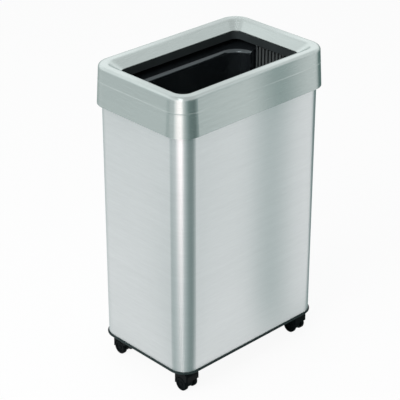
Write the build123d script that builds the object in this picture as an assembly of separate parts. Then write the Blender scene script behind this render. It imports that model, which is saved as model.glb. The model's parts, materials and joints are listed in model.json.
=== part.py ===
from build123d import *
from math import atan, cos, radians, sin
import os

# Wheeled open top trash can, in millimetres. X runs along the long side, Y across it, Z up.
# The origin is on the floor, under the middle of the body. The front is the long side at -Y.

# body
BODY_LENGTH = 410.0
BODY_WIDTH = 264.0
BODY_CORNER = 37.0
BODY_HEIGHT = 588.0
BODY_SHEET = 0.7
BODY_LIFT = 58.5            # height of the body's lower edge above the floor
BODY_FLANGE = 8.0           # width of the flange folded inward at the bottom
HEM_WIDTH = 4.0             # rolled top edge
HEM_HEIGHT = 5.0
HEM_ROUND = 1.8

# base
TRIM_PROUD = 3.1            # how far the black bead stands out past the body
TRIM_HEIGHT = 5.4
TRIM_ROUND = 2.5
PAN_WALL = 2.5
PAN_DECK_HEIGHT = 21.5      # top of the pan's deck above the body's lower edge
PAN_RIB = 2.5
PAN_RIB_DEPTH = 12.0
RIM_FOOT = 3.0              # inset of the flat rim that the can rests on without its casters
BOSS_RADIUS = 11.0

# fasteners
HEAD_ROUND = 0.9
BASE_SCREW_RADIUS = 1.5
BASE_SCREW_HEAD_RADIUS = 2.5
BASE_SCREW_HEAD = 1.8
BASE_SCREW_LENGTH = 6.0
SCREW_PITCH_LONG = 120.0
SCREW_PITCH_SHORT = 100.0
FILTER_SCREW_RADIUS = 1.5
FILTER_SCREW_HEAD_RADIUS = 2.75
FILTER_SCREW_HEAD = 1.8
FILTER_SCREW_LENGTH = 7.0
FILTER_SCREW_INSET = 11.5   # from the housing's ends
FILTER_BOSS_HEIGHT = 8.0
FILTER_BOSS_END = 1.0       # closed end of the boss over the screw

# casters
CASTER_INSET_X = 36.0       # swivel axes inside the body's outer faces
CASTER_INSET_Y = 32.0
CASTER_TRAIL = 3.0          # axle behind the swivel axis
CASTER_TURN = 180.0         # the can last rolled backwards, so all casters trail to the front
WHEEL_RADIUS = 16.0
WHEEL_WIDTH = 10.0
WHEEL_PITCH = 26.0          # between the middles of a caster's two wheels
WHEEL_EDGE = 2.6
HUB_DISH_RADIUS = 10.5
HUB_DISH_DEPTH = 1.6
HUB_CAP_RADIUS = 5.0
HUB_CAP_TOP_RADIUS = 4.0
HUB_CAP_PROUD = 1.2
HUB_CLOSED = 2.0            # hub left closed beyond the axle's end
AXLE_RADIUS = 2.0
WEB_GAP = 0.5               # between a wheel and the hood's middle web
HOOD_GAP = 1.3              # between a tread and the hood
HOOD_WALL = 2.0
HOOD_BACK = 23.0            # hood's rear face behind the swivel axis
HOOD_LOW = 13.0             # height of its front edge above the floor
HOOD_LIP = 27.0             # height of its rear edge above the floor
HOOD_HEIGHT = 35.0
HOOD_CROWN = 10.0           # rounding over the front and the back
HOOD_EDGE = 2.5             # rounding of the outline of its two sides
WEB_RADIUS = 12.5
NECK_RADIUS = 7.5
NECK_GAP = 0.3
STEM_RADIUS = 4.0
STEM_LENGTH = 20.5
STEM_CHAMFER = 1.0
PIVOT_RADIUS = 3.5
PIVOT_END = 27.0            # height of the pivot's lower end above the floor
COLLAR_HEIGHT = 2.0
SLEEVE_WALL = 2.0
SLEEVE_LENGTH = 22.0
GRIP_RING_HEIGHT = 13.0     # above the stem's collar
GRIP_RING_THICKNESS = 1.0
GRIP_RING_DEPTH = 0.6       # groove in the stem
GRIP_RING_GAP = 60.0        # degrees

# lid
LID_SHEET = 1.2
LID_LAP = 37.0              # overlap of the skirt on the body
LID_HEIGHT = 86.0
SKIRT_FLARE = 10.5          # skirt's lower edge outside the body
SKIRT_TOP_FLARE = 5.5       # the same at the top
BEAD_RADIUS = 8.0
ROLL_RADIUS = 12.6
OPENING_INSET = 35.5        # opening's edge inside the body's outer face
OPENING_CORNER = 17.0
FUNNEL_DROP = 17.5          # from the rim's top to the opening's edge
FUNNEL_RUN = 21.2           # level distance that the slope covers
FUNNEL_TOP_CORNER = 25.0

# lid's inner frame
FRAME_WALL = 2.0
BAND_HEIGHT = 19.5          # black band from the opening's edge down
FRAME_LAP = 13.0            # how far the frame follows the slope
FRAME_LEG_INSET = 3.5

# bag ring
RING_WALL = 2.2
RING_LIP = 1.5
RING_LIP_DROP = 6.5
RING_RIM = 2.3              # thickness of the level rim on the body's edge
RING_RIM_LAP = 1.0          # how far the rim runs into the slope
RING_SHOULDER_INSET = 8.0   # where the slope starts
RING_STOP_INSET = 1.0       # small upstand that centres the lid
RING_STOP_WIDTH = 2.0
RING_STOP_HEIGHT = 4.0
MOUTH_INSET_X = 42.0        # mouth's edges inside the body's outer faces
MOUTH_INSET_Y = 48.0
MOUTH_CORNER = 40.0
RING_DROP = 8.0             # from the shoulder to the crest
RING_DEPTH = 80.5           # from the shoulder to the lower edge
CREST_RADIUS = 9.0
NOTCH_HEIGHT = 55.0         # notch for the filter, from the shoulder down

# filter
HOUSING_DEPTH = 22.5
HOUSING_WIDTH = 83.0
HOUSING_HEIGHT = 60.0
HOUSING_WALL = 1.5
GATE_THICKNESS = 2.2
GATE_SLOTS = 8
GATE_SLOT_SHARE = 0.49      # slot's share of the pitch
GATE_SLOT_MARGIN_TOP = 3.2
GATE_SLOT_MARGIN_BOTTOM = 5.0
GATE_BARREL_RADIUS = 2.6
GATE_BARREL_WIDTH = 2.6
GATE_PIN_RADIUS = 1.25
GATE_TAB_WIDTH = 20.0
GATE_TAB_DEPTH = 4.0
CARTRIDGE_SIDE_GAP = 4.0    # loose in the housing, for its frame and seal
CARTRIDGE_HEADROOM = 9.0
CARTRIDGE_FRONT_GAP = 4.4
CARTRIDGE_ROUND = 3.0

# clearances
SEAT_GAP = 0.2              # between pieces that rest on each other
SIDE_GAP = 0.4              # between pieces side by side
RUN_GAP = 0.05              # radial clearance of a running fit
LIP_GAP = 0.9               # between the ring's lip and the body
FRAME_GAP = 0.25            # between the lid's steel and its inner frame

# working values of the model
CUT = 3.0                   # how far a cutting shape reaches past what it cuts
PICK = 5.0                  # how far outside an edge the search for it reaches
SAME = 0.01                 # heights and radii closer than this count as equal

# heights worked out from these
BODY_TOP = BODY_LIFT + BODY_HEIGHT
RIM_BASE = BODY_LIFT - TRIM_HEIGHT
DECK_TOP = BODY_LIFT + PAN_DECK_HEIGHT
SKIRT_LOW = BODY_TOP - LID_LAP
RIM_TOP = SKIRT_LOW + LID_HEIGHT
OPENING_Z = RIM_TOP - FUNNEL_DROP
BAND_LOW = OPENING_Z - BAND_HEIGHT
RING_TOP = BODY_TOP + SEAT_GAP + RING_RIM
RING_LOW = RING_TOP - RING_DEPTH
BODY = (BODY_LENGTH, BODY_WIDTH, BODY_CORNER)
CASTER_X = BODY_LENGTH / 2 - CASTER_INSET_X
CASTER_Y = BODY_WIDTH / 2 - CASTER_INSET_Y
MOUTH_LENGTH = BODY_LENGTH - 2 * MOUTH_INSET_X
MOUTH_WIDTH = BODY_WIDTH - 2 * MOUTH_INSET_Y
OPENING_LENGTH = BODY_LENGTH - 2 * OPENING_INSET
OPENING_WIDTH = BODY_WIDTH - 2 * OPENING_INSET
OPENING = (OPENING_LENGTH, OPENING_WIDTH, OPENING_CORNER)
FUNNEL_SLOPE = atan(FUNNEL_DROP / FUNNEL_RUN)
HOUSING_BACK = BODY_LENGTH / 2 - FRAME_LEG_INSET - FRAME_WALL
HOUSING_FRONT = HOUSING_BACK - HOUSING_DEPTH
HOUSING_LOW = BAND_LOW - HOUSING_HEIGHT
HOOD_INNER = WHEEL_RADIUS + HOOD_GAP
HOOD_FRONT = HOOD_INNER + HOOD_WALL - CASTER_TRAIL
HOOD_TOP = HOOD_LOW + HOOD_HEIGHT
NECK_TOP = RIM_BASE - COLLAR_HEIGHT - NECK_GAP
WEB_WIDTH = WHEEL_PITCH - WHEEL_WIDTH - 2 * WEB_GAP
CASTER_WIDTH = WHEEL_PITCH + WHEEL_WIDTH
PIVOT_BORE = PIVOT_RADIUS + RUN_GAP
SLEEVE_RADIUS = STEM_RADIUS + RUN_GAP + SLEEVE_WALL

nodes = {}


# basic shapes
def grown(outline, distance):
    """Length, width and corner of a rounded rectangle, moved outward by a distance."""
    length, width, corner = outline
    return (length + 2 * distance, width + 2 * distance, corner + distance)


def plate(length, width, corner, low, high):
    """Rounded rectangle raised from one height to another."""
    outline = Pos(0, 0, low) * RectangleRounded(length, width, corner)
    return extrude(outline, high - low)


def body_plate(inset, low, high):
    """Plate that follows the body's outline, moved inward by inset."""
    return plate(*grown(BODY, -inset), low, high)


def body_ring(outer_inset, inner_inset, low, high):
    """Band that follows the body's outline."""
    return body_plate(outer_inset, low, high) - body_plate(inner_inset, low, high)


def box(x_low, x_high, y_low, y_high, z_low, z_high):
    """Box between two corners."""
    size = (x_high - x_low, y_high - y_low, z_high - z_low)
    centre = ((x_low + x_high) / 2, (y_low + y_high) / 2, (z_low + z_high) / 2)
    return Pos(*centre) * Box(*size)


def rod(radius, low, high, x=0.0, y=0.0):
    """Upright cylinder."""
    return Pos(x, y, (low + high) / 2) * Cylinder(radius, high - low)


def rod_x(radius, x_low, x_high, y, z):
    """Cylinder along X."""
    return Pos((x_low + x_high) / 2, y, z) * Rot(0, 90, 0) * Cylinder(radius, x_high - x_low)


def rod_y(radius, y_low, y_high, x, z):
    """Cylinder along Y."""
    return Pos(x, (y_low + y_high) / 2, z) * Rot(90, 0, 0) * Cylinder(radius, y_high - y_low)


def funnel(low_size, low_z, high_size, high_z, floor, ceiling):
    """Space above a four-sided slope, with the straight well below it and some room above it."""
    low = Pos(0, 0, low_z) * RectangleRounded(*low_size)
    high = Pos(0, 0, high_z) * RectangleRounded(*high_size)
    slope = loft([low.face(), high.face()], ruled=True)
    return slope + plate(*low_size, floor, low_z) + plate(*high_size, high_z, ceiling)


def round_inner_edges(solid, z, length, width, radius):
    """Rounds the edges at height z that lie inside the given rectangle."""
    chosen = [
        edge
        for edge in solid.edges()
        if abs(edge.center().Z - z) < SAME
        and edge.bounding_box().size.Z < SAME
        and abs(edge.center().X) < length / 2
        and abs(edge.center().Y) < width / 2
    ]
    return fillet(chosen, radius)


# body and base
def body_shell():
    """Stainless tube with a rolled top edge and a flange folded inward at the bottom."""
    tube = body_ring(0, BODY_SHEET, BODY_LIFT, BODY_TOP)
    flange = body_ring(0, BODY_FLANGE, BODY_LIFT, BODY_LIFT + BODY_SHEET)
    hem = body_ring(0, HEM_WIDTH, BODY_TOP - HEM_HEIGHT, BODY_TOP)
    hem = fillet(hem.edges().group_by(Axis.Z)[-1], HEM_ROUND)
    shell = tube + flange + hem
    for x, y in base_screw_places():
        shell -= rod(BASE_SCREW_RADIUS, BODY_LIFT - CUT, BODY_LIFT + CUT, x, y)
    return shell


def base_screw_places():
    """Centres of the screws through the body's bottom flange."""
    inset = (RIM_FOOT + BODY_FLANGE + SIDE_GAP) / 2
    places = []
    for side in (-1, 1):
        y = side * (BODY_WIDTH / 2 - inset)
        places += [(step * SCREW_PITCH_LONG, y) for step in (-1, 0, 1)]
        x = side * (BODY_LENGTH / 2 - inset)
        places += [(x, step * SCREW_PITCH_SHORT / 2) for step in (-1, 1)]
    return places


def caster_places():
    """Name and swivel axis of each caster."""
    return [
        ("fl", -CASTER_X, -CASTER_Y),
        ("fr", CASTER_X, -CASTER_Y),
        ("rl", -CASTER_X, CASTER_Y),
        ("rr", CASTER_X, CASTER_Y),
    ]


def base_pan():
    """Black moulded base: trim bead, upstand inside the body, deck, caster bosses and ribs."""
    wall_inset = BODY_FLANGE + SIDE_GAP
    wall_inner = wall_inset + PAN_WALL
    bead = body_plate(-TRIM_PROUD, RIM_BASE, BODY_LIFT)
    rims = bead.edges().group_by(Axis.Z)
    bead = fillet(rims[0] + rims[-1], TRIM_ROUND)
    bead -= body_plate(wall_inner, RIM_BASE - CUT, BODY_LIFT + CUT)
    screw_seat = RIM_BASE + BASE_SCREW_HEAD + SEAT_GAP
    bead -= body_ring(RIM_FOOT, wall_inset, RIM_BASE - CUT, screw_seat)
    upstand = body_ring(wall_inset, wall_inner, RIM_BASE, DECK_TOP)
    deck_low = DECK_TOP - PAN_WALL
    pan = bead + upstand + body_plate(wall_inset, deck_low, DECK_TOP)
    rib_low = deck_low - PAN_RIB_DEPTH
    half_rib = PAN_RIB / 2
    half_length = BODY_LENGTH / 2
    half_width = BODY_WIDTH / 2
    ribs = []
    for y in (-BODY_WIDTH / 6, BODY_WIDTH / 6):
        ribs.append(box(-half_length, half_length, y - half_rib, y + half_rib, rib_low, deck_low))
    for x in (-BODY_LENGTH / 5, 0, BODY_LENGTH / 5):
        ribs.append(box(x - half_rib, x + half_rib, -half_width, half_width, rib_low, deck_low))
    for _, x, y in caster_places():
        end_x = half_length if x > 0 else -half_length
        end_y = half_width if y > 0 else -half_width
        ribs.append(box(*sorted((x, end_x)), y - half_rib, y + half_rib, RIM_BASE, deck_low))
        ribs.append(box(x - half_rib, x + half_rib, *sorted((y, end_y)), RIM_BASE, deck_low))
        pan += rod(BOSS_RADIUS, RIM_BASE, DECK_TOP, x, y)
    inside = body_plate(wall_inset + PAN_WALL / 2, RIM_BASE, DECK_TOP)
    for rib in ribs:
        pan += rib & inside
    for _, x, y in caster_places():
        pan -= rod(SLEEVE_RADIUS, RIM_BASE - CUT, RIM_BASE + SLEEVE_LENGTH, x, y)
    for x, y in base_screw_places():
        pan -= rod(BASE_SCREW_RADIUS, RIM_BASE - CUT, BODY_LIFT + CUT, x, y)
    return pan


def base_screws():
    """Pan-head screws, up through the pan and the body's flange."""
    seat = RIM_BASE + BASE_SCREW_HEAD + SEAT_GAP
    screws = []
    for x, y in base_screw_places():
        head = rod(BASE_SCREW_HEAD_RADIUS, seat - BASE_SCREW_HEAD, seat, x, y)
        head = fillet(head.edges().group_by(Axis.Z)[0], HEAD_ROUND)
        screws.append(head + rod(BASE_SCREW_RADIUS, seat, seat + BASE_SCREW_LENGTH, x, y))
    return screws


# casters
def socket_sleeves():
    """Steel sleeves pressed into the pan's bosses, each with a groove for the grip ring."""
    bore = STEM_RADIUS + RUN_GAP
    groove_low = RIM_BASE + GRIP_RING_HEIGHT - SEAT_GAP
    groove_high = RIM_BASE + GRIP_RING_HEIGHT + GRIP_RING_THICKNESS + SEAT_GAP
    sleeves = []
    for _, x, y in caster_places():
        sleeve = rod(SLEEVE_RADIUS, RIM_BASE, RIM_BASE + SLEEVE_LENGTH, x, y)
        sleeve -= rod(bore, RIM_BASE - CUT, RIM_BASE + SLEEVE_LENGTH + CUT, x, y)
        sleeve -= rod(bore + GRIP_RING_DEPTH, groove_low, groove_high, x, y)
        sleeves.append(sleeve)
    return sleeves


def grip_rings():
    """Open spring rings that sit half in the stem's groove and half in the sleeve's."""
    low = RIM_BASE + GRIP_RING_HEIGHT
    high = low + GRIP_RING_THICKNESS
    inner = STEM_RADIUS - GRIP_RING_DEPTH + RUN_GAP
    outer = STEM_RADIUS + GRIP_RING_DEPTH
    half_gap = STEM_RADIUS * sin(radians(GRIP_RING_GAP / 2))
    rings = []
    for _, x, y in caster_places():
        ring = rod(outer, low, high, x, y) - rod(inner, low - CUT, high + CUT, x, y)
        rings.append(ring - box(x, x + outer + CUT, y - half_gap, y + half_gap, low - CUT, high + CUT))
    return rings


def caster_stem():
    """Plug-in stem, its collar under the boss and the pivot that the hood turns on."""
    ring_low = RIM_BASE + GRIP_RING_HEIGHT
    ring_high = ring_low + GRIP_RING_THICKNESS
    stem_top = RIM_BASE + STEM_LENGTH
    stem = rod(STEM_RADIUS, RIM_BASE, stem_top)
    stem = chamfer(stem.edges().group_by(Axis.Z)[-1], STEM_CHAMFER)
    groove = rod(STEM_RADIUS + CUT, ring_low, ring_high)
    stem -= groove - rod(STEM_RADIUS - GRIP_RING_DEPTH, ring_low, ring_high)
    collar = rod(NECK_RADIUS, RIM_BASE - COLLAR_HEIGHT, RIM_BASE)
    return stem + collar + rod(PIVOT_RADIUS, PIVOT_END, RIM_BASE - COLLAR_HEIGHT)


def caster_hood():
    """Hood over both wheels, open below, with the web between them and the neck on top."""
    half = CASTER_WIDTH / 2
    y, z = CASTER_TRAIL, WHEEL_RADIUS
    hood = box(-half, half, -HOOD_FRONT, HOOD_BACK, HOOD_LOW, HOOD_TOP)
    hood = fillet(hood.edges().filter_by(Axis.X).group_by(Axis.Z)[-1], HOOD_CROWN)
    outline = [
        edge
        for edge in hood.edges()
        if abs(abs(edge.center().X) - half) < SAME and edge.center().Z > HOOD_LOW + SAME
    ]
    hood = fillet(outline, HOOD_EDGE)
    hood -= rod_x(HOOD_INNER, -half - CUT, half + CUT, y, z)
    hood -= box(-half - CUT, half + CUT, y, HOOD_BACK + CUT, HOOD_LOW - CUT, HOOD_LIP)
    web = rod_x(WEB_RADIUS, -WEB_WIDTH / 2, WEB_WIDTH / 2, y, z)
    web += box(-WEB_WIDTH / 2, WEB_WIDTH / 2, y - WEB_RADIUS, y + WEB_RADIUS, z, z + HOOD_INNER + HOOD_WALL)
    hood += web + rod(NECK_RADIUS, z + HOOD_INNER, NECK_TOP)
    hood -= rod(PIVOT_BORE, PIVOT_END - SEAT_GAP, NECK_TOP + CUT)
    return hood - rod_x(AXLE_RADIUS, -half, half, y, z)


def caster_axle():
    """Axle pressed through the hood's web, with a wheel on each end."""
    end = WHEEL_PITCH / 2 + WHEEL_WIDTH / 2 - HUB_CLOSED - SIDE_GAP
    return rod_x(AXLE_RADIUS, -end, end, CASTER_TRAIL, WHEEL_RADIUS)


def caster_wheel(side):
    """Wheel with a rounded tread and a dished outer face; side is -1 or 1 along X."""
    half = WHEEL_WIDTH / 2
    face = half - HUB_DISH_DEPTH
    outline = [
        (0, -half),
        (WHEEL_RADIUS, -half),
        (WHEEL_RADIUS, half),
        (HUB_DISH_RADIUS, half),
        (HUB_DISH_RADIUS - HUB_DISH_DEPTH / 2, face),
        (HUB_CAP_RADIUS, face),
        (HUB_CAP_TOP_RADIUS, face + HUB_CAP_PROUD),
        (0, face + HUB_CAP_PROUD),
    ]
    profile = Plane.XZ * Polygon(*outline, align=None)
    wheel = revolve(profile, Axis.Z, 360)
    tread = [
        edge
        for edge in wheel.edges().filter_by(GeomType.CIRCLE)
        if abs(edge.radius - WHEEL_RADIUS) < SAME
    ]
    wheel = fillet(tread, WHEEL_EDGE)
    bore_end = half - HUB_CLOSED
    wheel -= rod(AXLE_RADIUS + RUN_GAP, -half - CUT, bore_end)
    centre = Pos(side * WHEEL_PITCH / 2, CASTER_TRAIL, WHEEL_RADIUS)
    return centre * Rot(0, 90 * side, 0) * wheel


# lid
def lid_block(skin):
    """Skirt, bead and slope as a solid block, drawn inward by the thickness of skin."""
    high_z = RIM_TOP - skin
    outlines = []
    for flare, z in ((SKIRT_FLARE, SKIRT_LOW - skin), (SKIRT_TOP_FLARE, high_z)):
        outline = Pos(0, 0, z) * RectangleRounded(*grown(BODY, flare - skin))
        outlines.append(outline.face())
    block = loft(outlines, ruled=True)
    block = fillet(block.edges().group_by(Axis.Z)[-1], BEAD_RADIUS - skin)
    drop = skin / cos(FUNNEL_SLOPE)
    space = lid_funnel(drop, SKIRT_LOW - CUT)
    if skin > 0:
        space -= box(-BODY_LENGTH, BODY_LENGTH, -BODY_WIDTH, BODY_WIDTH, 0, OPENING_Z - drop)
    block -= space
    length, width, _ = grown(OPENING, FUNNEL_RUN + PICK)
    return round_inner_edges(block, high_z, length, width, ROLL_RADIUS - skin)


def lid_funnel(drop, floor):
    """Space above the lid's slope, lowered by drop."""
    run = FUNNEL_RUN + drop / (FUNNEL_DROP / FUNNEL_RUN)
    corner = OPENING_CORNER + (FUNNEL_TOP_CORNER - OPENING_CORNER) * run / FUNNEL_RUN
    high = (OPENING_LENGTH + 2 * run, OPENING_WIDTH + 2 * run, corner)
    return funnel(OPENING, OPENING_Z - drop, high, RIM_TOP, floor, RIM_TOP + CUT)


def lid_shell():
    """Stainless lid: drafted skirt, bead, and slope down to the opening."""
    return lid_block(0) - lid_block(LID_SHEET)


def lid_inner_frame():
    """Black frame under the opening: lip band, flange under the slope, web and leg."""
    steel = LID_SHEET / cos(FUNNEL_SLOPE) + FRAME_GAP
    wall = FRAME_WALL / cos(FUNNEL_SLOPE)
    floor = SKIRT_LOW
    flange = lid_funnel(steel + wall, floor) - lid_funnel(steel, floor)
    well_high = OPENING_Z - steel
    well = plate(*grown(OPENING, FRAME_GAP), floor, RIM_TOP)
    flange &= plate(*grown(OPENING, FRAME_LAP), well_high - wall, RIM_TOP)
    band = plate(*grown(OPENING, FRAME_GAP + FRAME_WALL), BAND_LOW, well_high)
    web = body_plate(FRAME_LEG_INSET, BAND_LOW, BAND_LOW + FRAME_WALL)
    leg_low = RING_TOP + SEAT_GAP
    leg = body_ring(FRAME_LEG_INSET, FRAME_LEG_INSET + FRAME_WALL, leg_low, BAND_LOW + FRAME_WALL)
    frame = flange + band + web - well + leg
    boss_high = BAND_LOW + FILTER_BOSS_HEIGHT
    for x, y in filter_screw_places():
        frame += rod(FILTER_SCREW_RADIUS + FRAME_WALL, BAND_LOW, boss_high, x, y)
        frame -= rod(FILTER_SCREW_RADIUS, BAND_LOW - CUT, boss_high - FILTER_BOSS_END, x, y)
    return frame


# bag ring
def ring_block(skin):
    """Shoulder, slope and well of the ring as a solid block, drawn inward by skin."""
    slope_run = MOUTH_INSET_X - RING_SHOULDER_INSET
    drop = skin / cos(atan(RING_DROP / slope_run))
    mouth = grown((MOUTH_LENGTH, MOUTH_WIDTH, MOUTH_CORNER), skin)
    shoulder = grown(BODY, -RING_SHOULDER_INSET)
    block = plate(*shoulder, RING_LOW - skin, RING_TOP - drop)
    crest = RING_TOP - RING_DROP - drop
    block -= funnel(mouth, crest, shoulder, RING_TOP - drop, RING_LOW - CUT, RING_TOP + CUT)
    length, width, _ = grown(mouth, PICK)
    return round_inner_edges(block, crest, length, width, CREST_RADIUS - skin)


def bag_ring():
    """Bag retainer: lip over the body's edge, rim, slope, deep wall, and the filter's notch."""
    solid = ring_block(0)
    ring = solid - ring_block(RING_WALL)
    rim_low = RING_TOP - RING_RIM
    lip_outer = -LIP_GAP - RING_LIP
    ring += body_ring(lip_outer, RING_SHOULDER_INSET + RING_RIM_LAP, rim_low, RING_TOP)
    ring += body_ring(lip_outer, -LIP_GAP, rim_low - RING_LIP_DROP, RING_TOP)
    stop_inner = RING_STOP_INSET + RING_STOP_WIDTH
    ring += body_ring(RING_STOP_INSET, stop_inner, RING_TOP, RING_TOP + RING_STOP_HEIGHT)
    half = HOUSING_WIDTH / 2 + 2 * SIDE_GAP + RING_WALL
    outer = half + RING_WALL
    low = RING_TOP - NOTCH_HEIGHT
    start = MOUTH_LENGTH / 2 - CREST_RADIUS
    end = HOUSING_BACK + 2 * SIDE_GAP
    ring += solid & box(start, end, -outer, outer, low - RING_WALL, RING_TOP)
    return ring - box(start, end, -half, half, low, RING_TOP + CUT)


# filter
def filter_screw_places():
    """Screws between the filter housing and the frame's web."""
    x = (HOUSING_FRONT + GATE_THICKNESS + HOUSING_BACK) / 2
    y = HOUSING_WIDTH / 2 - FILTER_SCREW_INSET
    return [(x, side * y) for side in (-1, 1)]


def filter_housing():
    """Box under the frame's web, open towards the bin and closed there by the gate."""
    half = HOUSING_WIDTH / 2
    wall = HOUSING_WALL
    housing = box(HOUSING_FRONT, HOUSING_BACK, -half, half, HOUSING_LOW, BAND_LOW)
    inner = half - wall
    front = HOUSING_FRONT - CUT
    housing -= box(front, HOUSING_BACK - wall, -inner, inner, HOUSING_LOW + wall, BAND_LOW - wall)
    for x, y in filter_screw_places():
        housing -= rod(FILTER_SCREW_RADIUS, BAND_LOW - wall - CUT, BAND_LOW + CUT, x, y)
    x, z = gate_axis()
    return housing - rod_y(GATE_PIN_RADIUS, -half - CUT, half + CUT, x, z)


def gate_axis():
    """Place of the gate's hinge axis, which runs along Y."""
    drop = HOUSING_WALL + SIDE_GAP + GATE_BARREL_RADIUS
    return HOUSING_FRONT + GATE_THICKNESS / 2, BAND_LOW - drop


def filter_gate():
    """Slotted door that hangs from its two top pins."""
    half = HOUSING_WIDTH / 2 - HOUSING_WALL - SIDE_GAP
    low = HOUSING_LOW + HOUSING_WALL + SIDE_GAP
    high = BAND_LOW - HOUSING_WALL - SIDE_GAP
    back = HOUSING_FRONT + GATE_THICKNESS
    gate = box(HOUSING_FRONT, back, -half, half, low, high)
    slot_low = low + GATE_SLOT_MARGIN_BOTTOM
    slot_high = high - GATE_SLOT_MARGIN_TOP
    pitch = 2 * half / GATE_SLOTS
    half_slot = pitch * GATE_SLOT_SHARE / 2
    for index in range(GATE_SLOTS):
        y = (index - (GATE_SLOTS - 1) / 2) * pitch
        y_low = y - half_slot
        y_high = y + half_slot
        gate -= box(HOUSING_FRONT - CUT, back + CUT, y_low, y_high, slot_low, slot_high)
    tab = GATE_TAB_WIDTH / 2
    gate += box(HOUSING_FRONT - GATE_TAB_DEPTH, back, -tab, tab, low, low + GATE_THICKNESS)
    x, z = gate_axis()
    for side in (-1, 1):
        ends = sorted((side * (half - GATE_BARREL_WIDTH), side * half))
        gate += rod_y(GATE_BARREL_RADIUS, *ends, x, z)
    return gate - rod_y(GATE_PIN_RADIUS + RUN_GAP, -half - CUT, half + CUT, x, z)


def gate_pins():
    """Two short hinge pins pressed into the housing's cheeks."""
    x, z = gate_axis()
    outer = HOUSING_WIDTH / 2
    inner = outer - HOUSING_WALL - SIDE_GAP - GATE_BARREL_WIDTH
    return [rod_y(GATE_PIN_RADIUS, *sorted((side * inner, side * outer)), x, z) for side in (-1, 1)]


def filter_cartridge():
    """Carbon pad that stands on the housing's floor behind the gate."""
    front = HOUSING_FRONT + GATE_THICKNESS + CARTRIDGE_FRONT_GAP
    back = HOUSING_BACK - HOUSING_WALL - SIDE_GAP
    half = HOUSING_WIDTH / 2 - HOUSING_WALL - CARTRIDGE_SIDE_GAP
    low = HOUSING_LOW + HOUSING_WALL + SEAT_GAP
    high = BAND_LOW - HOUSING_WALL - CARTRIDGE_HEADROOM
    pad = box(front, back, -half, half, low, high)
    return fillet(pad.edges().filter_by(Axis.X), CARTRIDGE_ROUND)


def filter_screws():
    """Screws up through the housing's top wall into the frame's bosses."""
    seat = BAND_LOW - HOUSING_WALL
    screws = []
    for x, y in filter_screw_places():
        head = rod(FILTER_SCREW_HEAD_RADIUS, seat - FILTER_SCREW_HEAD, seat, x, y)
        head = fillet(head.edges().group_by(Axis.Z)[0], HEAD_ROUND)
        screws.append(head + rod(FILTER_SCREW_RADIUS, seat, seat + FILTER_SCREW_LENGTH, x, y))
    return screws


# assembly
nodes["body_shell"] = body_shell()
nodes["base_pan"] = base_pan()
nodes["base_screws"] = base_screws()
nodes["socket_sleeves"] = socket_sleeves()
nodes["grip_rings"] = grip_rings()
nodes["bag_ring"] = bag_ring()
nodes["lid_shell"] = lid_shell()
nodes["lid_inner_frame"] = lid_inner_frame()
nodes["filter_housing"] = filter_housing()
nodes["filter_gate"] = filter_gate()
nodes["gate_pins"] = gate_pins()
nodes["filter_cartridge"] = filter_cartridge()
nodes["filter_screws"] = filter_screws()

hood = caster_hood()
# a caster that is turned half round has its side 1 on the left
wheels = {side: caster_wheel(side) for side in (-1, 1)}
for name, x, y in caster_places():
    place = Pos(x, y, 0) * Rot(0, 0, CASTER_TURN)
    nodes[f"caster_{name}_stem"] = place * caster_stem()
    nodes[f"caster_{name}_hood"] = place * hood
    nodes[f"caster_{name}_axle"] = place * caster_axle()
    nodes[f"caster_{name}_wheel_a"] = place * wheels[1]
    nodes[f"caster_{name}_wheel_b"] = place * wheels[-1]

os.makedirs("parts", exist_ok=True)
for name, shape in nodes.items():
    if isinstance(shape, list):
        shape = Compound(children=shape)
    export_step(shape, f"parts/{name}.step")
    box_size = shape.bounding_box().size
    print(name, round(shape.volume, 1), [round(v, 1) for v in box_size])
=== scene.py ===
import json
from math import cos, pi, radians, sin

import bpy
from mathutils import Matrix, Vector


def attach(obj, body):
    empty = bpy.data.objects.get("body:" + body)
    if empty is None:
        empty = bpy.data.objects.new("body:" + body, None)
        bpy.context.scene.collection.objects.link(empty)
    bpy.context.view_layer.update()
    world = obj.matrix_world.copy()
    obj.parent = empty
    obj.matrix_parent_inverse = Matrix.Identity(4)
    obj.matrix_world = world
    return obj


# camera, worked out from the can's straight edges
HEADING = radians(46.27)
PITCH = radians(27.5)
CAMERA_DISTANCE = 3.2565
CAMERA_SIDE = -0.0221
CAMERA_RISE = 0.0095
TARGET_HEIGHT = 0.3455
SENSOR = 36.0
FOCAL_PIXELS = 1501.9
IMAGE_PIXELS = 400.0

# lid's pressed crease: its height, and its length, width and corner radius
CREASE_HEIGHT = 0.662
CREASE_OUTLINE = (0.4249, 0.2789, 0.04445)
# its section, from the top down: how far out of the skirt, how far above the crease
CREASE_SECTION = [(-0.0004, 0.00075), (0.00035, 0.0), (-0.0004, -0.006)]
CREASE_CORNER_STEPS = 14
CREASE_SHARP = radians(30.0)

# colours
STEEL = (0.63, 0.665, 0.67)
LID_STEEL = (0.45, 0.505, 0.495)
ZINC = (0.58, 0.58, 0.56)
RING_BLACK = (0.009, 0.011, 0.0125)
BASE_BLACK = (0.023, 0.034, 0.034)
FRAME_BLACK = (0.029, 0.035, 0.036)
# paler black of the filter's door: painted light on its bars, not a colour of its own
DOOR_BLACK_WITH_PAINTED_LIGHT = (0.075, 0.084, 0.084)
CASTER_BLACK = (0.0025, 0.0035, 0.004)
CARBON = (0.010, 0.010, 0.011)
COOL_GLOSS = (0.86, 1.0, 1.04, 1.0)
WHITE = (1.0, 1.0, 1.0, 1.0)

# steel's grain: how dense it is along X, Y and Z, how far it moves the tone and the gloss, its shares in the
# tone, and the strength and depth of its bump
FIBRES = (22.0, 22.0, 2600.0)
STROKES = (38.0, 38.0, 400.0)
BANDS = (6.0, 6.0, 110.0)
STREAK = 0.14
FIBRE_GLOSS = 0.04
GRAIN_SHARE = 0.35
BAND_SHARE = 0.3
FIBRE_BUMP = (0.25, 0.00004)
# it draws highlights out at right angles to the brushing
ANISOTROPY = 1.0
QUARTER_TURN = 0.25

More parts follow.
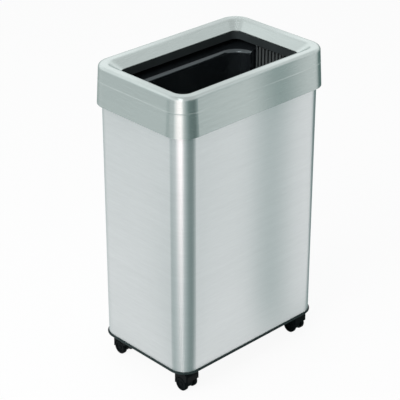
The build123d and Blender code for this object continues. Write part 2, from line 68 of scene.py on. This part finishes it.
# plastic's skin and rubbed patches
SKIN_SCALE = 1400.0
SKIN_DEPTH = 0.00015
PATCH_SCALE = 22.0
PATCH_TONE = (0.75, 1.35)
PATCH_GLOSS = (-0.06, 0.08)

# zinc's mottle
MOTTLE_SCALE = 320.0
MOTTLE_TONE = (0.85, 1.12)
MOTTLE_GLOSS = (0.24, 0.4)

# foam's cells
CELL_SCALE = 520.0
CELL_TONE = (0.5, 2.2)
CELL_BUMP = (0.8, 0.0008)
FOAM_ROUGHNESS = 0.95

# layers of noise
BAND_DETAIL = 2.0
FINE_DETAIL = 3.0
PATCH_DETAIL = 4.0

# floor: its size, its own colour, and how much of what the camera sees of it is plain white
FLOOR_SIZE = 16.0
FLOOR_PALE = (0.85, 0.85, 0.85, 1.0)
FLOOR_WHITENED = 0.93
# Where headings on the floor are measured from, under the can's near corner, and the distances from there
# between which its reflected tones go from those beside the can to those further off.
NEAR_CORNER = (-0.1995, -0.1265, 0.0)
FLOOR_CHANGE = (1.15, 1.7)

# Brightness that metal sees around the can: heading in degrees, beside the can, further off.
SURROUND = [
    (-180.0, 0.74, 1.12),
    (-173.0, 0.67, 1.77),
    (-158.0, 0.70, 2.76),
    (-143.0, 0.66, 2.90),
    (-136.0, 0.55, 2.31),
    (-130.0, 0.56, 1.44),
    (-123.0, 0.56, 0.98),
    (-115.0, 0.515, 0.64),
    (-107.0, 0.445, 0.385),
    (-99.0, 0.39, 0.215),
    (-90.0, 0.32, 0.20),
    (-70.0, 0.225, 0.16),
    (-61.0, 0.305, 0.27),
    (-55.0, 0.56, 0.55),
    (-49.5, 0.79, 0.73),
    (-46.5, 0.90, 0.68),
    (-43.5, 1.26, 1.34),
    (-38.0, 1.21, 1.03),
    (-28.0, 1.06, 0.93),
    (-17.0, 0.98, 0.38),
    (-10.5, 1.54, 0.26),
    (-8.0, 0.36, 0.21),
    (34.0, 0.28, 0.20),
    (60.0, 0.46, 0.40),
    (92.0, 0.86, 0.72),
    (112.0, 1.12, 0.90),
    (131.0, 1.09, 0.81),
    (134.0, 0.70, 0.80),
    (142.0, 0.37, 0.75),
    (152.0, 0.495, 0.79),
    (163.0, 0.59, 0.98),
    (172.0, 0.68, 1.00),
]
BESIDE = 1
FURTHER = 2
FULL_TURN = 360.0
RAMP_MIDDLE = 0.5
# How fast red and blue fall in its dark tones, and how much warmer its brightest tones are.
RED_FALL = 0.30
BLUE_FALL = 0.03
WARM_RISE = 0.10

# Rise of a direction over which the tones around the can give way to those overhead.
OVERHEAD_RISE = (0.0, 0.32)
# Brightness overhead, how it leans towards +Y, and how much more there is at its foot, which fades out over
# this rise of a direction.
CEILING = 0.97
CEILING_TILT = 0.29
CEILING_FOOT = 0.37
CEILING_FOOT_RISE = (0.62, 0.78)
# Soft bright spot overhead: the direction to it, how near to that it starts and is whole, and how much it
# adds.
SPOT = (-0.64, -0.42, 0.64)
SPOT_EDGE = (0.965, 0.992)
SPOT_BRIGHT = 3.2
# What matt surfaces receive from all around.
EVEN_LIGHT = (0.34, 0.355, 0.36, 1.0)

# Soft dark card that only reflections see, in front of the can: its middle, half width and height, its tone,
# and how dense it is below and above the heights between which that changes.
CARD_PLACE = (0.165, -0.240)
CARD_HALF = 0.105
CARD_TOP = 0.75
CARD_TONE = (0.0, 0.17, 0.15, 1.0)
CARD_SHADE = (0.41, 0.54)
CARD_CHANGE = (0.50, 0.60)

# Lamps: name, heading in degrees, height, level distance, size and watts.
LAMPS = [
    ("key", 188.0, 2.4, 2.6, (2.4, 2.2), 85.0),
    ("fill", -70.0, 1.8, 2.6, (2.2, 2.0), 1.5),
    ("top", 60.0, 3.0, 0.8, (2.6, 2.4), 22.0),
]

# sockets of the node that mixes two colours
MIX_SHARE = 0
MIX_FIRST = 6
MIX_SECOND = 7
MIX_RESULT = 2

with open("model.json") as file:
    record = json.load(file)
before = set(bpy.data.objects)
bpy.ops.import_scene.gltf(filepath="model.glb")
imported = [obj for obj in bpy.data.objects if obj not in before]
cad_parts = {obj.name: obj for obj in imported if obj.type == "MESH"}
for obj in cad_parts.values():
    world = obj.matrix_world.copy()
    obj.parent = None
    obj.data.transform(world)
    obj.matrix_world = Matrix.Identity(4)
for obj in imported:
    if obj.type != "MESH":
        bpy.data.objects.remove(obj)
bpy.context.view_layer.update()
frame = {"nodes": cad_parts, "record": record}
scene = bpy.context.scene


# node helpers
def node(tree, kind, inputs=None, **settings):
    """Adds a shader node, links sockets and sets plain values."""
    made = tree.nodes.new(kind)
    for key, value in settings.items():
        setattr(made, key, value)
    for key, value in (inputs or {}).items():
        if isinstance(value, bpy.types.NodeSocket):
            tree.links.new(value, made.inputs[key])
        else:
            made.inputs[key].default_value = value
    return made


def calculate(tree, operation, first, second=0.0):
    """Result of one arithmetic step."""
    return node(tree, "ShaderNodeMath", {0: first, 1: second}, operation=operation).outputs[0]


def spread(tree, value, goal, span=(0.0, 1.0), soft=False):
    """Maps the span of a value onto the goal, and holds it there beyond the span; soft eases in and out."""
    inputs = {"Value": value, "From Min": span[0], "From Max": span[1], "To Min": goal[0], "To Max": goal[1]}
    easing = "SMOOTHSTEP" if soft else "LINEAR"
    return node(tree, "ShaderNodeMapRange", inputs, interpolation_type=easing).outputs["Result"]


def noise(tree, place, detail, scale=1.0, stretch=(1.0, 1.0, 1.0)):
    """Noise in the part's own coordinates, stretched along the axes."""
    mapped = node(tree, "ShaderNodeMapping", {"Vector": place, "Scale": stretch})
    inputs = {"Vector": mapped.outputs[0], "Scale": scale, "Detail": detail}
    return node(tree, "ShaderNodeTexNoise", inputs).outputs[0]


def grey(tree, level):
    """Grey of a given level."""
    return node(tree, "ShaderNodeCombineColor", {0: level, 1: level, 2: level}).outputs[0]


def mixed(tree, share, first, second, blend="MIX"):
    """Colour between first and second, or second blended onto first, by a share."""
    inputs = {MIX_SHARE: share, MIX_FIRST: first, MIX_SECOND: second}
    return node(tree, "ShaderNodeMix", inputs, data_type="RGBA", blend_type=blend).outputs[MIX_RESULT]


def either(tree, share, first, second):
    """Shader between first and second, by a share."""
    inputs = {0: share, 1: first.outputs[0], 2: second.outputs[0]}
    return node(tree, "ShaderNodeMixShader", inputs)


def tinted(tree, base, value, tones):
    """Base colour whose brightness goes from the low to the high tone with value."""
    level = grey(tree, spread(tree, value, tones))
    return mixed(tree, 1.0, (*base, 1.0), level, "MULTIPLY")


def bump(tree, height, strength, depth):
    """Normals of a fine relief."""
    inputs = {"Height": height, "Strength": strength, "Distance": depth}
    return node(tree, "ShaderNodeBump", inputs).outputs[0]


def material(name):
    """Empty material with its tree, its output and the part's coordinates."""
    made = bpy.data.materials.new(name)
    made.use_nodes = True
    tree = made.node_tree
    tree.nodes.clear()
    output = node(tree, "ShaderNodeOutputMaterial")
    place = node(tree, "ShaderNodeTexCoord").outputs["Object"]
    return made, tree, output, place


def surface(tree, output, inputs):
    """Ends a material in one principled shader."""
    shader = node(tree, "ShaderNodeBsdfPrincipled", inputs)
    tree.links.new(shader.outputs[0], output.inputs[0])


# materials
def brushed_steel(name, base, rough):
    """Steel brushed level around the can: long fine fibres, soft streaks, upright highlights."""
    made, tree, output, place = material(name)
    fibres = noise(tree, place, FINE_DETAIL, stretch=FIBRES)
    strokes = noise(tree, place, FINE_DETAIL, stretch=STROKES)
    bands = noise(tree, place, BAND_DETAIL, stretch=BANDS)
    grain = calculate(tree, "MULTIPLY", calculate(tree, "ADD", fibres, strokes), GRAIN_SHARE)
    tone = calculate(tree, "ADD", grain, calculate(tree, "MULTIPLY", bands, BAND_SHARE))
    inputs = {
        "Base Color": tinted(tree, base, tone, (1.0 - STREAK, 1.0 + STREAK)),
        "Metallic": 1.0,
        "Roughness": spread(tree, fibres, (rough - FIBRE_GLOSS, rough + FIBRE_GLOSS)),
        "Anisotropic": ANISOTROPY,
        "Anisotropic Rotation": QUARTER_TURN,
        "Normal": bump(tree, fibres, *FIBRE_BUMP),
        "Tangent": node(tree, "ShaderNodeTangent", direction_type="RADIAL", axis="Z").outputs[0],
    }
    surface(tree, output, inputs)
    return made


def moulded_plastic(name, base, rough, texture, specular):
    """Black moulded plastic: fine skin texture, uneven gloss and a few rubbed patches."""
    made, tree, output, place = material(name)
    skin = noise(tree, place, FINE_DETAIL, SKIN_SCALE)
    patches = noise(tree, place, PATCH_DETAIL, PATCH_SCALE)
    smoother, rougher = PATCH_GLOSS
    inputs = {
        "Base Color": tinted(tree, base, patches, PATCH_TONE),
        "Roughness": spread(tree, patches, (rough + smoother, rough + rougher)),
        "Specular IOR Level": specular,
        "Specular Tint": COOL_GLOSS,
        "Normal": bump(tree, skin, texture, SKIN_DEPTH),
    }
    surface(tree, output, inputs)
    return made


def plated_steel(name, base):
    """Zinc-plated small parts."""
    made, tree, output, place = material(name)
    mottle = noise(tree, place, FINE_DETAIL, MOTTLE_SCALE)
    inputs = {
        "Base Color": tinted(tree, base, mottle, MOTTLE_TONE),
        "Metallic": 1.0,
        "Roughness": spread(tree, mottle, MOTTLE_GLOSS),
    }
    surface(tree, output, inputs)
    return made


def carbon_foam(name, base):
    """Open black foam of the filter pad."""
    made, tree, output, place = material(name)
    cells = node(tree, "ShaderNodeTexVoronoi", {"Vector": place, "Scale": CELL_SCALE}).outputs["Distance"]
    inputs = {
        "Base Color": tinted(tree, base, cells, CELL_TONE),
        "Roughness": FOAM_ROUGHNESS,
        "Normal": bump(tree, cells, *CELL_BUMP),
    }
    surface(tree, output, inputs)
    return made


def dress(name, finish):
    """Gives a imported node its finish."""
    for slot in frame["nodes"][name].material_slots:
        slot.material = finish


# finishes of the record's slots
finishes = {
    "body_steel": brushed_steel("body_brushed", STEEL, rough=0.30),
    "lid_steel": brushed_steel("lid_brushed", LID_STEEL, rough=0.26),
    "base_plastic": moulded_plastic("base_black", BASE_BLACK, rough=0.45, texture=0.25, specular=0.05),
    "frame_plastic": moulded_plastic("frame_black", FRAME_BLACK, rough=0.42, texture=0.25, specular=0.15),
    "ring_plastic": moulded_plastic("ring_black", RING_BLACK, rough=0.17, texture=0.03, specular=0.9),
    "caster_plastic": moulded_plastic("caster_black", CASTER_BLACK, rough=0.32, texture=0.1, specular=0.05),
    "wheel_plastic": moulded_plastic("wheel_black", CASTER_BLACK, rough=0.40, texture=0.2, specular=0.04),
    "fastener_steel": plated_steel("zinc_plated", ZINC),
    "carbon_pad": carbon_foam("carbon_foam", CARBON),
}
for entry in frame["record"]["subparts"]:
    dress(entry["node"], finishes[entry["material_slot"]])
# the filter's slotted door is paler than the frame around it: painted light, a lit copy of the frame's black
# standing in for the key lamp falling on its bars
dress("filter_gate", moulded_plastic("door_black_with_painted_light", DOOR_BLACK_WITH_PAINTED_LIGHT, rough=0.42, texture=0.25, specular=0.3))


# lid's crease
def rounded_outline(length, width, corner):
    """Points of a rounded rectangle with their outward directions."""
    points = []
    for quarter in range(4):
        side_x = 1 if quarter in (0, 3) else -1
        side_y = 1 if quarter in (0, 1) else -1
        centre = Vector((side_x * (length / 2 - corner), side_y * (width / 2 - corner), 0.0))
        for step in range(CREASE_CORNER_STEPS + 1):
            turn = (quarter + step / CREASE_CORNER_STEPS) * pi / 2
            out = Vector((cos(turn), sin(turn), 0.0))
            points.append((centre + out * corner, out))
    return points


def lid_crease():
    """Fine pressed line around the lid's skirt."""
    outline = rounded_outline(*CREASE_OUTLINE)
    verts = []
    for point, out in outline:
        for offset, rise in CREASE_SECTION:
            verts.append(point + out * offset + Vector((0.0, 0.0, CREASE_HEIGHT + rise)))
    sides = len(CREASE_SECTION)
    faces = []
    for index in range(len(outline)):
        first = index * sides
        second = (index + 1) % len(outline) * sides
        for side in range(sides):
            after = (side + 1) % sides
            faces.append((first + side, first + after, second + after, second + side))
    mesh = bpy.data.meshes.new("lid_crease")
    mesh.from_pydata(verts, [], faces)
    mesh.shade_smooth()
    mesh.set_sharp_from_angle(angle=CREASE_SHARP)
    mesh.materials.append(finishes["lid_steel"])
    crease = bpy.data.objects.new("lid_crease", mesh)
    scene.collection.objects.link(crease)
    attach(crease, "lid")


# studio
def surround_ramp(tree, direction, column):
    """Brightness around the can by heading; darker tones lean to green, as in brushed steel."""
    angle = node(tree, "ShaderNodeTexGradient", {"Vector": direction}, gradient_type="RADIAL")
    ramp = node(tree, "ShaderNodeValToRGB", {"Fac": angle.outputs["Fac"]})
    stops = ramp.color_ramp.elements
    while len(stops) < len(SURROUND):
        stops.new(RAMP_MIDDLE)
    for stop, row in zip(stops, SURROUND):
        green = row[column]
        dark = min(green, 1.0)
        bright = max(green, 1.0)
        red = green * dark**RED_FALL * (1.0 + WARM_RISE * (bright - 1.0))
        stop.position = row[0] / FULL_TURN + RAMP_MIDDLE
        stop.color = (red, green, green * dark**BLUE_FALL, 1.0)
    return ramp.outputs[0]


def overhead_tone(tree, direction, split):
    """Brightness overhead, with its lean, its brighter foot and its soft spot."""
    leaning = calculate(tree, "MULTIPLY", split.outputs["Y"], CEILING_TILT)
    level = calculate(tree, "ADD", leaning, CEILING)
    foot = spread(tree, split.outputs["Z"], (CEILING_FOOT, 0.0), CEILING_FOOT_RISE)
    level = calculate(tree, "ADD", level, foot)
    nearness = node(tree, "ShaderNodeVectorMath", {0: direction, 1: SPOT}, operation="DOT_PRODUCT")
    spot = spread(tree, nearness.outputs["Value"], (0.0, SPOT_BRIGHT), SPOT_EDGE, soft=True)
    return grey(tree, calculate(tree, "ADD", level, spot))


def studio_world():
    """White where the camera looks; in reflections a studio; for matt surfaces an even pale light."""
    world = bpy.data.worlds.new("studio")
    scene.world = world
    world.use_nodes = True
    tree = world.node_tree
    tree.nodes.clear()
    path = node(tree, "ShaderNodeLightPath")
    direction = node(tree, "ShaderNodeTexCoord").outputs["Generated"]
    split = node(tree, "ShaderNodeSeparateXYZ", {0: direction})
    around = surround_ramp(tree, direction, FURTHER)
    overhead = overhead_tone(tree, direction, split)
    up = spread(tree, split.outputs["Z"], (0.0, 1.0), OVERHEAD_RISE)
    even = node(tree, "ShaderNodeBackground", {"Color": EVEN_LIGHT})
    mirror = node(tree, "ShaderNodeBackground", {"Color": mixed(tree, up, around, overhead)})
    white = node(tree, "ShaderNodeBackground", {"Color": WHITE})
    seen = either(tree, path.outputs["Is Glossy Ray"], even, mirror)
    last = either(tree, path.outputs["Is Camera Ray"], seen, white)
    output = node(tree, "ShaderNodeOutputWorld")
    tree.links.new(last.outputs[0], output.inputs[0])


def studio_piece(name, corners, finish):
    """One flat face of the studio."""
    mesh = bpy.data.meshes.new(name)
    mesh.from_pydata(corners, [], [(0, 1, 2, 3)])
    mesh.materials.append(finish)
    piece = bpy.data.objects.new(name, mesh)
    scene.collection.objects.link(piece)
    return piece


def studio_floor():
    """Plain pale floor that takes the can's shadow."""
    made, tree, output, place = material("floor_pale")
    path = node(tree, "ShaderNodeLightPath")
    centred = node(tree, "ShaderNodeVectorMath", {0: place, 1: NEAR_CORNER}, operation="SUBTRACT").outputs[0]
    distance = node(tree, "ShaderNodeVectorMath", {0: centred}, operation="LENGTH").outputs["Value"]
    far = spread(tree, distance, (0.0, 1.0), FLOOR_CHANGE)
    around = mixed(tree, far, surround_ramp(tree, centred, BESIDE), surround_ramp(tree, centred, FURTHER))
    matt = node(tree, "ShaderNodeBsdfDiffuse", {"Color": FLOOR_PALE})
    mirror = node(tree, "ShaderNodeEmission", {"Color": around})
    white = node(tree, "ShaderNodeEmission", {"Color": WHITE})
    camera_share = calculate(tree, "MULTIPLY", path.outputs["Is Camera Ray"], FLOOR_WHITENED)
    seen = either(tree, path.outputs["Is Glossy Ray"], matt, mirror)
    last = either(tree, camera_share, seen, white)
    tree.links.new(last.outputs[0], output.inputs[0])
    half = FLOOR_SIZE / 2
    corners = [(-half, -half, 0.0), (half, -half, 0.0), (half, half, 0.0), (-half, half, 0.0)]
    floor = studio_piece("floor", corners, made)


def soft_card():
    """Dark card with soft edges in front of the can, for reflections alone."""
    across, front = CARD_PLACE
    made, tree, output, place = material("card_dark")
    split = node(tree, "ShaderNodeSeparateXYZ", {0: place})
    away = calculate(tree, "ABSOLUTE", calculate(tree, "SUBTRACT", split.outputs["X"], across))
    middle = spread(tree, split.outputs["Z"], CARD_SHADE, CARD_CHANGE)
    edge = spread(tree, away, (1.0, 0.0), (0.0, CARD_HALF), soft=True)
    clear = node(tree, "ShaderNodeBsdfTransparent")
    dark = node(tree, "ShaderNodeEmission", {"Color": CARD_TONE})
    seen = either(tree, calculate(tree, "MULTIPLY", middle, edge), clear, dark)
    tree.links.new(seen.outputs[0], output.inputs[0])
    left = across - CARD_HALF
    right = across + CARD_HALF
    corners = [(left, front, 0.0), (right, front, 0.0), (right, front, CARD_TOP), (left, front, CARD_TOP)]
    card = studio_piece("card", corners, made)
    card.visible_camera = False
    card.visible_diffuse = False
    card.visible_shadow = False
    card.visible_transmission = False


def soft_lamp(name, heading, height, distance, size, power):
    """Area lamp that faces the can and shows in no reflection."""
    lamp = bpy.data.lights.new(name, "AREA")
    lamp.shape = "RECTANGLE"
    lamp.size = size[0]
    lamp.size_y = size[1]
    lamp.energy = power
    holder = bpy.data.objects.new(name, lamp)
    scene.collection.objects.link(holder)
    angle = radians(heading)
    place = Vector((distance * cos(angle), distance * sin(angle), height))
    aim = Vector((0.0, 0.0, TARGET_HEIGHT)) - place
    holder.location = place
    holder.rotation_euler = aim.to_track_quat("-Z", "Y").to_euler()
    holder.visible_glossy = False


def studio_camera():
    """Camera at the photograph's viewing angle."""
    forward = Vector((cos(HEADING) * cos(PITCH), sin(HEADING) * cos(PITCH), -sin(PITCH)))
    right = Vector((sin(HEADING), -cos(HEADING), 0.0))
    up = right.cross(forward)
    target = Vector((0.0, 0.0, TARGET_HEIGHT)) + right * CAMERA_SIDE + up * CAMERA_RISE
    lens = bpy.data.cameras.new("camera")
    lens.sensor_width = SENSOR
    lens.lens = FOCAL_PIXELS / IMAGE_PIXELS * SENSOR
    holder = bpy.data.objects.new("camera", lens)
    scene.collection.objects.link(holder)
    turn = Matrix((right, up, -forward)).transposed()
    holder.matrix_world = Matrix.Translation(target - forward * CAMERA_DISTANCE) @ turn.to_4x4()
    scene.camera = holder


lid_crease()
studio_world()
studio_floor()
soft_card()
for settings in LAMPS:
    soft_lamp(*settings)
studio_camera()
scene.view_settings.view_transform = "Standard"
